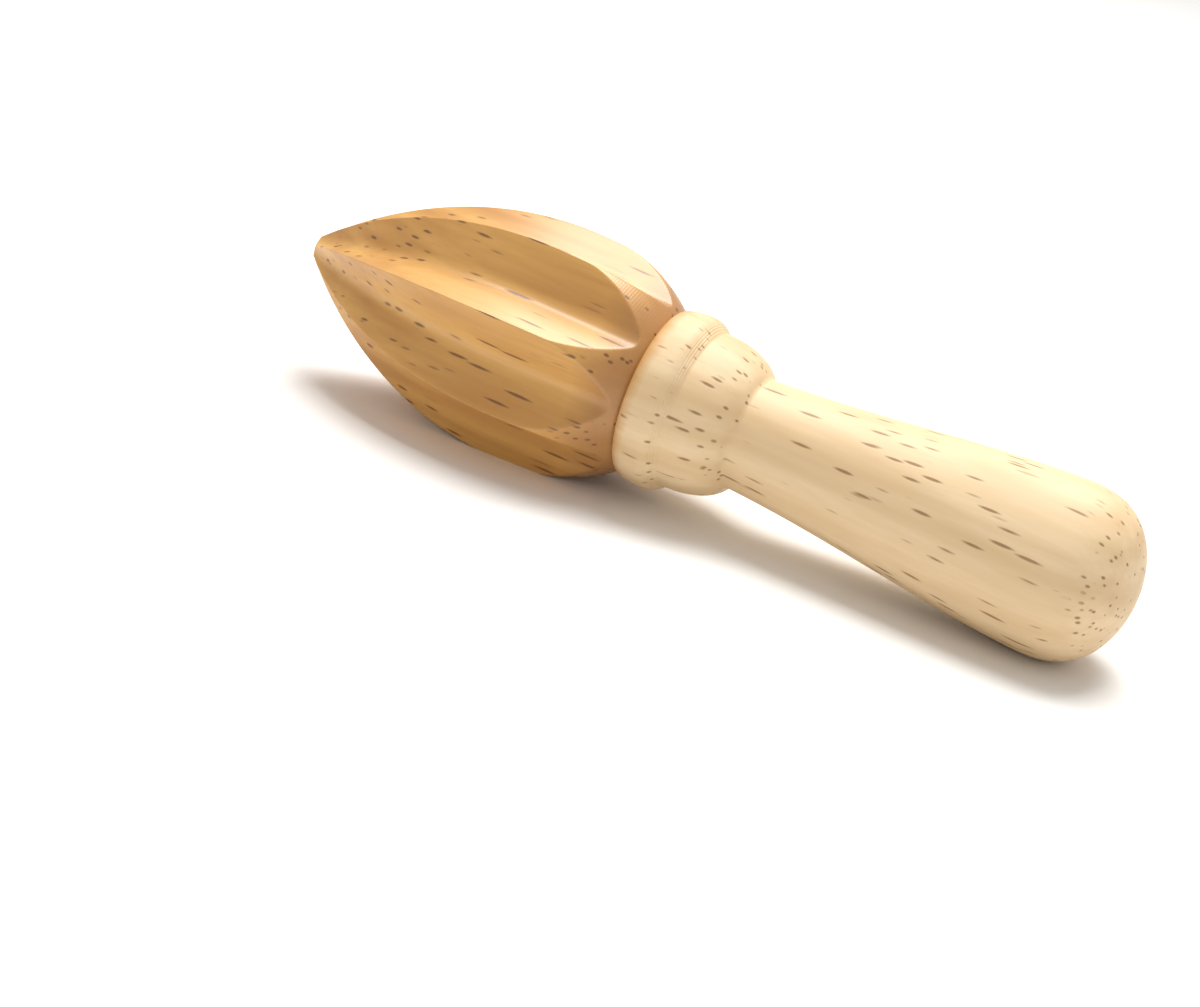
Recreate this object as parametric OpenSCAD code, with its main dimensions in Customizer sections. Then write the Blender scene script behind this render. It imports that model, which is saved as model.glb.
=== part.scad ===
/* [Head] */
// Length of the fluted head from the seam to its tip
head_len = 66; // [60:1:74]
// Diameter of the turned head at its widest, before the flutes are cut
head_d = 41.8; // [41:0.2:44]
// Distance of the widest place from the seam
head_belly = 21; // [18:1:24]
// Diameter of the head where its shoulder starts at the seam
base_d = 28; // [27:0.5:29]
// Rounding of the corner between the shoulder and the seam
base_tuck = 0.4; // [0.2:0.1:0.6]

/* [Flutes] */
// Number of flutes round the head
flute_count = 8; // [6:1:10]
// Distance of a flute's root from the axis at the widest place
root_r = 15.3; // [14.5:0.1:16]
// Angle between the two walls of a flute
flute_angle = 124; // [110:1:130]
// Radius at the bottom of a flute
root_fillet = 3; // [1:0.5:4]
// Radius of the curve that a flute's root follows to the tip
path_r = 81; // [76:1:90]
// Slope of a flute's root where it runs out at the shoulder
runout_slope = 1.4; // [1:0.1:3]

/* [Handle] */
// Length of the handle from the seam to the butt
handle_len = 86; // [82:1:100]
// Diameter of the collar at its crown
collar_d = 30.5; // [29:0.5:32]
// Diameter of the lip at the front of the collar
lip_d = 28.3; // [27:0.1:28.5]
// Distance of the crown from the seam
crown_x = 4.7; // [4:0.1:5.5]
// Diameter of the neck
neck_d = 19.2; // [18:0.2:22]
// Distance of the narrowest place from the seam
neck_x = 17.8; // [16:0.2:20]
// Diameter of the handle at its belly
belly_d = 29.4; // [27:0.2:32]
// Length of the rounded butt
butt_len = 14; // [11:0.5:16]

/* [Collar rings] */
// Distance from the crown to the front of the ring band
band_start = 1.9; // [1.5:0.1:2.2]
// Length of the ring band along the axis
band_len = 1.4; // [1:0.1:1.8]
// Drop of the surface from the crown to the front of the band
band_drop = 0.6; // [0.4:0.1:0.8]
// Drop of the surface across the band
band_fall = 1.05; // [0.8:0.05:1.3]

/* [Joint] */
// Diameter of the spigot on the head
spigot_d = 10; // [8:0.5:11]
// Length of the spigot
spigot_len = 18; // [12:1:22]
// Glue clearance round the spigot, on the radius
glue_gap = 0.05; // [0.03:0.01:0.15]
// Space between the spigot's end and the bottom of its socket
end_gap = 1; // [0.5:0.1:2]
// Chamfer on the spigot's end and at the socket's mouth
chamfer = 0.8; // [0.4:0.1:1]

/* [Hidden] */
$fn = 96;
head_r = head_d / 2;
base_r = base_d / 2;
collar_r = collar_d / 2;
neck_r = neck_d / 2;
belly_r = belly_d / 2;
spigot_r = spigot_d / 2;
half_angle = flute_angle / 2;
// Fullness of the shoulder, the ogive and the butt as powers of their curves
shoulder_power = 2.5;
ogive_power = 0.62;
butt_power = 2.6;
// Steps along each stretch of the turned outlines
shoulder_steps = 12;
ogive_steps = 18;
bead_steps = 6;
cove_steps = 9;
swell_steps = 14;
butt_steps = 14;
root_steps = 6;
// Reach of the flute cutter beyond the head's surface
cutter_reach = 12;
// Turn of the cutter along its curve, enough to pass the tip
cutter_sweep = 42;
// The origin is midway between the tip and the butt, on the turning axis
mid_x = (handle_len - head_len) / 2;
belly_x = handle_len - butt_len;
band_x = crown_x + band_start;
band_end = band_x + band_len;
drill_point = 59;

// Radius of the turned shoulder at a distance from the seam
function shoulder_at(u) =
    base_r + (head_r - base_r) * (1 - pow((head_belly - u) / (head_belly - base_tuck), shoulder_power));
// Radius of the turned ogive as a share of the way from the widest place to the tip
function ogive_at(share) = head_r * pow(max(0, 1 - share * share), ogive_power);
// Radius of the handle between its neck and its belly, as a share of the way
function swell_at(share) = neck_r + (belly_r - neck_r) * (share / 2 + (1 - cos(180 * share)) / 4);

// Outline of the head's blank: distance from the seam, radius
head_outline = concat(
    [[0, 0], [0, base_r - base_tuck]],
    [for (i = [0:shoulder_steps])
        let (u = base_tuck + (head_belly - base_tuck) * i / shoulder_steps) [u, shoulder_at(u)]],
    [for (i = [1:ogive_steps])
        let (share = sin(90 * i / ogive_steps)) [head_belly + (head_len - head_belly) * share, ogive_at(share)]]
);

// Outline of the handle: distance from the seam, radius
handle_outline = concat(
    [[0, 0], [0, lip_d / 2]],
    [for (i = [1:bead_steps])
        let (turn = 90 * i / bead_steps)
        [crown_x * (1 - cos(turn)), lip_d / 2 + (collar_r - lip_d / 2) * sin(turn)]],
    [for (i = [1:bead_steps])
        let (share = i / bead_steps) [crown_x + band_start * share, collar_r - band_drop * share * share]],
    [for (i = [0:cove_steps])
        let (turn = 80 * i / cove_steps, top = collar_r - band_drop - band_fall, full = sin(80))
        [neck_x - (neck_x - band_end) * (1 - sin(turn) / full),
         neck_r + (top - neck_r) * (cos(turn) - cos(80)) / (1 - cos(80))]],
    [for (i = [1:swell_steps])
        let (share = i / swell_steps) [neck_x + (belly_x - neck_x) * share, swell_at(share)]],
    [for (i = [1:butt_steps])
        let (share = sin(90 * i / butt_steps))
        [belly_x + butt_len * share, belly_r * sqrt(max(0, 1 - pow(share, butt_power)))]]
);

// Section of a flute: across the flute, outward from its root
fillet_drop = root_fillet * (1 / sin(half_angle) - 1);
mouth_half = (cutter_reach + fillet_drop) * tan(half_angle);
flute_section = concat(
    [[mouth_half, cutter_reach], [-mouth_half, cutter_reach]],
    [for (i = [0:root_steps])
        let (lean = (90 - half_angle) * (2 * i / root_steps - 1))
        [root_fillet * sin(lean), root_fillet * (1 - cos(lean))]]
);

// Turns an outline about the X axis, running toward +X or -X from the seam
module turned(outline, toward) {
    translate([-mid_x, 0, 0])
    rotate([0, 90 * toward, 0])
    rotate_extrude()
    polygon([for (p = outline) [p[1], p[0]]]);
}

// Cuts one flute at the top of the head: a curved pass to the tip and a straight pass to the shoulder
module flute_cutter() {
    translate([-mid_x - head_belly, 0, root_r - path_r]) {
        rotate([90, 0, 0])
        rotate([0, 0, 90 - runout_slope])
        rotate_extrude(angle = cutter_sweep)
        polygon([for (p = flute_section) [path_r + p[1], p[0]]]);
        rotate([0, runout_slope, 0])
        translate([0, 0, path_r])
        rotate([90, 0, 90])
        linear_extrude(height = head_belly + 2)
        polygon(flute_section);
    }
}

module spigot() {
    translate([-mid_x, 0, 0])
    rotate([0, 90, 0])
    union() {
        translate([0, 0, -1])
        cylinder(r = spigot_r, h = 1 + spigot_len - chamfer);
        translate([0, 0, spigot_len - chamfer])
        cylinder(r1 = spigot_r, r2 = spigot_r - chamfer, h = chamfer);
    }
}

module socket() {
    bore_r = spigot_r + glue_gap;
    translate([-mid_x, 0, 0])
    rotate([0, 90, 0])
    union() {
        translate([0, 0, -1])
        cylinder(r = bore_r, h = 1 + spigot_len + end_gap);
        translate([0, 0, spigot_len + end_gap])
        cylinder(r1 = bore_r, r2 = 0, h = bore_r / tan(drill_point));
        translate([0, 0, -0.01])
        cylinder(r1 = bore_r + chamfer, r2 = bore_r, h = chamfer);
    }
}

module head() {
    color([0.80, 0.56, 0.28])
    union() {
        difference() {
            turned(head_outline, -1);
            for (i = [0:flute_count - 1]) rotate([360 / flute_count * i, 0, 0]) flute_cutter();
        }
        spigot();
    }
}

module handle() {
    color([0.93, 0.82, 0.62])
    difference() {
        turned(handle_outline, 1);
        socket();
    }
}

head();
handle();
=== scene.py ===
# %% [markdown]
# A wooden citrus reamer: a fluted, pointed head on a turned handle.
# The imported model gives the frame, and both turnings are made again here as fine surfaces with wood grain.
# Lengths are in millimetres until a surface is built, because that is how the tool is dimensioned.

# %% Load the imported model
import math

import bpy
import numpy as np
from mathutils import Matrix


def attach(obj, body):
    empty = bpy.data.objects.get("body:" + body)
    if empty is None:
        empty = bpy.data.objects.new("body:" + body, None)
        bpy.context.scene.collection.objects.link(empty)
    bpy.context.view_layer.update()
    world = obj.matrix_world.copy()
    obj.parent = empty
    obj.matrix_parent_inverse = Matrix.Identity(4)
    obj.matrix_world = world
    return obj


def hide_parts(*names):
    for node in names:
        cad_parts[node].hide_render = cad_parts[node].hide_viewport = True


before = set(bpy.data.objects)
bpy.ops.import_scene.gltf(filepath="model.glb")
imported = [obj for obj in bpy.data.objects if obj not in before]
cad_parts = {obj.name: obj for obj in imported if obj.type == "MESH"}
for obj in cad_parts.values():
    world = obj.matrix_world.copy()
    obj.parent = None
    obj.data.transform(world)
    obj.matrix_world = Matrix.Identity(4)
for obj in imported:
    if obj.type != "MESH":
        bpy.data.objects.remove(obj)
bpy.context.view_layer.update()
MM = 0.001

# %% [markdown]
# The driving dimensions are the same as the model's, measured from the seam between head and handle.

# %% Dimensions
head_len = 66.0
head_r = 20.9
head_belly = 21.0
base_r = 14.0
base_tuck = 0.4
flute_count = 8
root_r = 15.3
half_angle = math.radians(62.0)
root_fillet = 3.0
path_r = 81.0
runout_slope = math.radians(1.4)
handle_len = 86.0
collar_r = 15.25
lip_r = 14.15
crown_x = 4.7
neck_r = 9.6
neck_x = 17.8
belly_r = 14.7
butt_len = 14.0
band_x = 6.6
band_end = 8.0
band_drop = 0.6
band_fall = 1.05
spigot_r = 5.0
spigot_len = 18.0
bore_r = 5.05
bore_len = 19.0
mid_x = (handle_len - head_len) / 2
belly_x = handle_len - butt_len

# %% [markdown]
# One helper turns a grid of points into a closed mesh.
# The rows run along the axis and each row is a ring, so the first and last rows close on a point.

# %% Mesh helper
def ring_mesh(name, along, radius, turn):
    """Mesh of rings: row i lies at along[i] and has radius[i, j] at the angle turn[j], all in millimetres."""
    rows, columns = radius.shape
    x = np.repeat(along[:, None], columns, 1) - mid_x
    points = np.stack([x, radius * np.sin(turn), radius * np.cos(turn)], -1) * MM
    index = np.arange(rows * columns).reshape(rows, columns)
    after = np.roll(index, -1, 1)
    quads = np.stack([index[:-1], after[:-1], after[1:], index[1:]], -1).reshape(-1, 4)
    mesh = bpy.data.meshes.new(name)
    mesh.from_pydata(points.reshape(-1, 3).tolist(), [], quads.tolist())
    first = mesh.vertices[0].co.x
    flip = along[-1] < along[0]
    if flip:
        mesh.flip_normals()
    mesh.polygons.foreach_set("use_smooth", np.ones(len(mesh.polygons), dtype=bool))
    piece = bpy.data.objects.new(name, mesh)
    bpy.context.scene.collection.objects.link(piece)
    print(name, "rows", rows, "columns", columns, "starts at", round(first, 4))
    return piece

# %% [markdown]
# The head is turned to a bullet shape and then fluted.
# A flute's section is a wide V with a rounded root. Its root follows an arc toward the tip and runs out straight
# on the shoulder, which leaves a small turned land between two flutes.

# %% Head surface
def blank_radius(u):
    """Radius of the turned blank: a full shoulder up to the widest place, then an ogive to the tip."""
    shoulder = base_r + (head_r - base_r) * (1 - (np.clip(head_belly - u, 0, None) / (head_belly - base_tuck)) ** 2.5)
    share = np.clip((u - head_belly) / (head_len - head_belly), 0, 1)
    return np.where(u < head_belly, shoulder, head_r * (1 - share**2) ** 0.62)


def section_height(across):
    """Height of a flute's wall above its root: a circle at the root, then a straight wall."""
    lean = math.pi / 2 - half_angle
    edge = root_fillet * math.sin(lean)
    arc = root_fillet - np.sqrt(np.clip(root_fillet**2 - np.minimum(across, edge) ** 2, 0, None))
    return arc + np.clip(across - edge, 0, None) * math.tan(lean)


def flute_radius(u, turn):
    """Radius where a ray from the axis leaves the wood of a flute, found by halving the interval."""
    behind = u - head_belly
    centre = root_r - path_r
    low = np.zeros(np.broadcast(u, turn).shape)
    high = np.full_like(low, 30.0)
    for _ in range(40):
        r = (low + high) / 2
        rise = r * np.cos(turn) - centre
        curved = np.hypot(behind, rise) - path_r
        straight = -behind * math.sin(runout_slope) + rise * math.cos(runout_slope) - path_r
        height = np.where(-behind > path_r * math.sin(runout_slope), straight, curved)
        outside = height > section_height(np.abs(r * np.sin(turn)))
        high = np.where(outside, r, high)
        low = np.where(outside, low, r)
    return (low + high) / 2


def soft_least(a, b, width):
    """The smaller of two radii, with the corner between them rounded over the given width."""
    share = np.clip(0.5 + 0.5 * (b - a) / width, 0, 1)
    return b + (a - b) * share - width * share * (1 - share)


half_step = math.pi / flute_count
spread = np.linspace(-1, 1, 41)[:-1]
within = half_step * (1.4 * spread - 0.4 * spread**3)
turn = np.concatenate([within + 2 * half_step * k for k in range(flute_count)])
local = np.tile(within, flute_count)
u_shoulder = np.linspace(0.05, 20, 130)
u_ogive = head_belly + (head_len - head_belly) * np.sin(np.linspace(0, math.pi / 2, 110))
u_rows = np.concatenate([u_shoulder, u_ogive])
land = blank_radius(u_rows)[:, None] + 0.02 * np.sin(u_rows * 14)[:, None] * (u_rows < 16)[:, None]
cut = flute_radius(u_rows[:, None], local[None, :])
head_radius = soft_least(cut, np.broadcast_to(land, cut.shape), 0.12)
head_radius[-1] = 0
ones = np.ones((1, turn.size))
head_rows = np.concatenate([0 * ones, spigot_r * ones, spigot_r * ones, (base_r - 0.4) * ones, head_radius])
head_along = np.concatenate([[spigot_len, spigot_len, 0.0, 0.0], -u_rows])
head = ring_mesh("head_turning", head_along, head_rows, turn)

# %% [markdown]
# The handle is one turning. The ring band behind the collar's crown has fine lathe grooves.

# %% Handle surface
def handle_radius(x):
    """Radius of the handle: bead, ring band, cove, swelling grip and rounded butt, one after another."""
    bead = lip_r + (collar_r - lip_r) * np.sqrt(np.clip(1 - (1 - np.clip(x / crown_x, 0, 1)) ** 2, 0, 1))
    top = collar_r - band_drop
    behind_crown = collar_r - band_drop * (np.clip(x - crown_x, 0, None) / (band_x - crown_x)) ** 2
    band = top - band_fall * np.clip((x - band_x) / (band_end - band_x), 0, 1)
    full = math.radians(80)
    turned = np.arcsin(np.clip((1 - (neck_x - x) / (neck_x - band_end)) * math.sin(full), 0, math.sin(full)))
    cove_share = (np.cos(turned) - math.cos(full)) / (1 - math.cos(full))
    cove = neck_r + (top - band_fall - neck_r) * cove_share
    way = np.clip((x - neck_x) / (belly_x - neck_x), 0, 1)
    swell = neck_r + (belly_r - neck_r) * (way / 2 + (1 - np.cos(np.pi * way)) / 4)
    butt = belly_r * np.sqrt(np.clip(1 - np.clip((x - belly_x) / butt_len, 0, 1) ** 2.6, 0, 1))
    stretches = [x < crown_x, x < band_x, x < band_end, x < neck_x, x < belly_x]
    return np.select(stretches, [bead, behind_crown, band, cove, swell], butt)


x_collar = np.linspace(0, 10, 240)
x_grip = np.linspace(10.1, belly_x, 150)
x_butt = belly_x + butt_len * np.sin(np.linspace(0.02, math.pi / 2, 60))
x_rows = np.concatenate([x_collar, x_grip, x_butt])
groove = np.exp(-(((x_rows - 7.1) / 0.75) ** 4)) * (0.5 - 0.5 * np.cos(2 * np.pi * x_rows / 0.38)) * 0.07
profile = handle_radius(x_rows) - groove
profile[-1] = 0
handle_turn = np.linspace(0, 2 * math.pi, 193)[:-1]
hollow = np.array([0.0, bore_r, bore_r])
handle_along = np.concatenate([[bore_len + 3, bore_len, 0.0], x_rows])
handle_rows = np.repeat(np.concatenate([hollow, profile])[:, None], handle_turn.size, 1)
handle = ring_mesh("handle_turning", handle_along, handle_rows, handle_turn)

# %% [markdown]
# Wood is one shader with two settings. Pores are long thin cells along the grain, so they show as dashes on the
# side of a turning and as dots on end grain. Broad bands and fine fibres vary the colour.

# %% Wood
def wood(name, light, dark, pore, roughness, wet, seam_band):
    """Wood in object coordinates: growth bands, fibres, pores, a little bump, and a darker band along X by the seam
    if asked for.
    """
    material = bpy.data.materials.new(name)
    material.use_nodes = True
    nodes, links = material.node_tree.nodes, material.node_tree.links
    shader = nodes["Principled BSDF"]
    place = nodes.new("ShaderNodeTexCoord").outputs["Object"]

    def scaled(vector):
        mapping = nodes.new("ShaderNodeMapping")
        mapping.inputs["Scale"].default_value = vector
        links.new(place, mapping.inputs["Vector"])
        return mapping.outputs[0]

    def noise(vector, detail):
        texture = nodes.new("ShaderNodeTexNoise")
        texture.inputs["Scale"].default_value = 1
        texture.inputs["Detail"].default_value = detail
        links.new(scaled(vector), texture.inputs["Vector"])
        return texture.outputs["Fac"]

    def ramp(value, low, high):
        mapped = nodes.new("ShaderNodeMapRange")
        mapped.inputs["From Min"].default_value = low
        mapped.inputs["From Max"].default_value = high
        links.new(value, mapped.inputs["Value"])
        return mapped.outputs[0]

    def blend(share, first, second):
        mix = nodes.new("ShaderNodeMix")
        mix.data_type = "RGBA"
        links.new(share, mix.inputs["Factor"])
        for socket, value in ((mix.inputs["A"], first), (mix.inputs["B"], second)):
            if isinstance(value, tuple):
                socket.default_value = (*value, 1)
            else:
                links.new(value, socket)
        return mix.outputs["Result"]

    def times(first, second):
        product = nodes.new("ShaderNodeMath")
        product.operation = "MULTIPLY"
        for socket, value in zip(product.inputs, (first, second)):
            if isinstance(value, float):
                socket.default_value = value
            else:
                links.new(value, socket)
        return product.outputs[0]

    bands = noise((14, 150, 260), 2)
    fibres = noise((90, 1500, 1500), 3)
    cells = nodes.new("ShaderNodeTexVoronoi")
    cells.inputs["Scale"].default_value = 1
    links.new(scaled((95, 900, 900)), cells.inputs["Vector"])
    kept = ramp(cells.outputs["Color"], 0.44, 0.52)
    pores = times(ramp(cells.outputs["Distance"], 0.30, 0.16), kept)
    colour = blend(ramp(bands, 0.35, 0.68), light, dark)
    colour = blend(times(ramp(fibres, 0.4, 0.8), 0.35), colour, dark)
    if seam_band:
        parts = nodes.new("ShaderNodeSeparateXYZ")
        links.new(place, parts.inputs[0])
        edge = noise((60, 260, 260), 3)
        shifted = nodes.new("ShaderNodeMath")
        shifted.operation = "MULTIPLY_ADD"
        shifted.inputs[1].default_value = 0.004
        links.new(edge, shifted.inputs[0])
        links.new(parts.outputs["X"], shifted.inputs[2])
        near_seam = ramp(shifted.outputs[0], seam_band[1], seam_band[0])
        colour = blend(times(near_seam, 0.75), colour, seam_band[2])
    colour = blend(times(pores, 0.8), colour, pore)
    links.new(colour, shader.inputs["Base Color"])
    shader.inputs["Roughness"].default_value = roughness
    shader.inputs["Coat Weight"].default_value = wet
    shader.inputs["Coat Roughness"].default_value = 0.25
    bump = nodes.new("ShaderNodeBump")
    bump.inputs["Strength"].default_value = 0.25
    bump.inputs["Distance"].default_value = 0.0002
    bump.invert = True
    links.new(pores, bump.inputs["Height"])
    links.new(bump.outputs[0], shader.inputs["Normal"])
    return material


seam = -mid_x * MM
# Each wood gets a darker band by the seam: on the handle a juice stain wicked onto the collar, on the head a darker
# base next to the collar.
pale_wood = wood("handle_wood", (0.80, 0.60, 0.36), (0.68, 0.47, 0.25), (0.24, 0.11, 0.03), 0.55, 0.0,
                 (seam + 0.0020, seam + 0.0042, (0.55, 0.25, 0.04)))
wet_wood = wood("head_wood", (0.68, 0.37, 0.10), (0.50, 0.23, 0.05), (0.14, 0.05, 0.01), 0.42, 0.35,
                (seam - 0.001, seam - 0.007, (0.38, 0.17, 0.05)))
for piece, material, node, slot in (
    (head, wet_wood, "head", "head_wood"),
    (handle, pale_wood, "handle", "handle_wood"),
):
    piece.data.materials.append(material)
    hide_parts(node)
    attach(piece, "root")
    print(piece.name, "faces", len(piece.data.polygons))

# %% [markdown]
# The tool lies on two ridges of its head and on the belly of its handle, so the floor leans a little.

# %% Floor
ridge_rest = 20.4 * math.cos(half_step)
lean = math.asin((ridge_rest - belly_r) / (belly_x + head_belly))
bpy.ops.mesh.primitive_plane_add(size=4)
floor = bpy.context.object
floor.name = "floor"
floor.matrix_world = Matrix.Rotation(-lean, 4, "Y") @ Matrix.Translation((0, 0, 0))
floor.location = (-(head_belly + mid_x) * MM, 0, -ridge_rest * MM)
floor_paint = bpy.data.materials.new("floor_paint")
floor_paint.use_nodes = True
floor_paint.node_tree.nodes["Principled BSDF"].inputs["Base Color"].default_value = (0.9, 0.89, 0.87, 1)
floor_paint.node_tree.nodes["Principled BSDF"].inputs["Roughness"].default_value = 0.9
floor.data.materials.append(floor_paint)

# %% [markdown]
# The camera is a pinhole placed from the picture: the seam's neighbourhood on the axis has a known pixel, the axis
# leans in the picture and toward the camera, and the tool is turned about its axis until a ridge faces the camera.

# %% Camera
picture = (1200.0, 1007.0)
focal_pixels = 2833.0
anchor_pixel = (684.0, 405.3)
anchor_distance = 466.6
anchor_x = 5.66
picture_angle = math.radians(24.22)
toward_camera = math.radians(17.1)
turn_about_axis = math.radians(67.2)

ray = np.array([(anchor_pixel[0] - picture[0] / 2) / focal_pixels, (anchor_pixel[1] - picture[1] / 2) / focal_pixels, 1])
axis_x = np.array([
    math.cos(toward_camera) * math.cos(picture_angle),
    math.cos(toward_camera) * math.sin(picture_angle),
    -math.sin(toward_camera),
])
side = np.array([math.sin(picture_angle), -math.cos(picture_angle), 0])
near = np.cross(axis_x, side)
near *= -np.sign(near[2])
axis_z = math.cos(turn_about_axis) * near + math.sin(turn_about_axis) * side
axis_y = np.cross(axis_z, axis_x)
axes = np.stack([axis_x, axis_y, axis_z])
origin = ray * anchor_distance + axis_x * (mid_x - anchor_x)
eye = -axes @ origin * MM
right, down, forward = axes[:, 0], axes[:, 1], axes[:, 2]
pose = Matrix.Identity(4)
for k in range(3):
    pose[k][0], pose[k][1], pose[k][2], pose[k][3] = right[k], -down[k], -forward[k], eye[k]
camera_data = bpy.data.cameras.new("camera")
camera_data.sensor_width = 36
camera_data.lens = focal_pixels / picture[0] * 36
camera = bpy.data.objects.new("camera", camera_data)
camera.matrix_world = pose
bpy.context.scene.collection.objects.link(camera)
bpy.context.scene.camera = camera
print("camera at", np.round(eye, 3))

# %% [markdown]
# One large soft light stands above and a little behind the tool as the picture shows it, and a pale world fills in.

# %% Light
def soft_light(name, direction, distance, size, power):
    """Square area light that looks at the origin from a direction."""
    data = bpy.data.lights.new(name, "AREA")
    data.shape = "SQUARE"
    data.size = size
    data.energy = power
    lamp = bpy.data.objects.new(name, data)
    aim = np.array(direction) / np.linalg.norm(direction)
    z = aim
    x = np.cross([0.3, 1, 0.1], z)
    x /= np.linalg.norm(x)
    y = np.cross(z, x)
    for k in range(3):
        pass
    spot = Matrix.Identity(4)
    for k in range(3):
        spot[k][0], spot[k][1], spot[k][2], spot[k][3] = x[k], y[k], z[k], aim[k] * distance
    lamp.matrix_world = spot
    bpy.context.scene.collection.objects.link(lamp)
    return lamp


up_in_picture = axes @ side
to_camera = axes @ near
soft_light("key", 1.0 * up_in_picture + 0.1 * to_camera - np.array([0.15, 0, 0]), 0.7, 0.5, 7.5)
world = bpy.data.worlds.new("studio")
bpy.context.scene.world = world
world.use_nodes = True
tree = world.node_tree
background = tree.nodes["Background"]
light_path = tree.nodes.new("ShaderNodeLightPath")
strength = tree.nodes.new("ShaderNodeMapRange")
strength.inputs["To Min"].default_value = 0.55
strength.inputs["To Max"].default_value = 1.0
tree.links.new(light_path.outputs["Is Camera Ray"], strength.inputs["Value"])
tree.links.new(strength.outputs[0], background.inputs["Strength"])
background.inputs["Color"].default_value = (1, 1, 1, 1)
bpy.context.scene.view_settings.view_transform = "Standard"
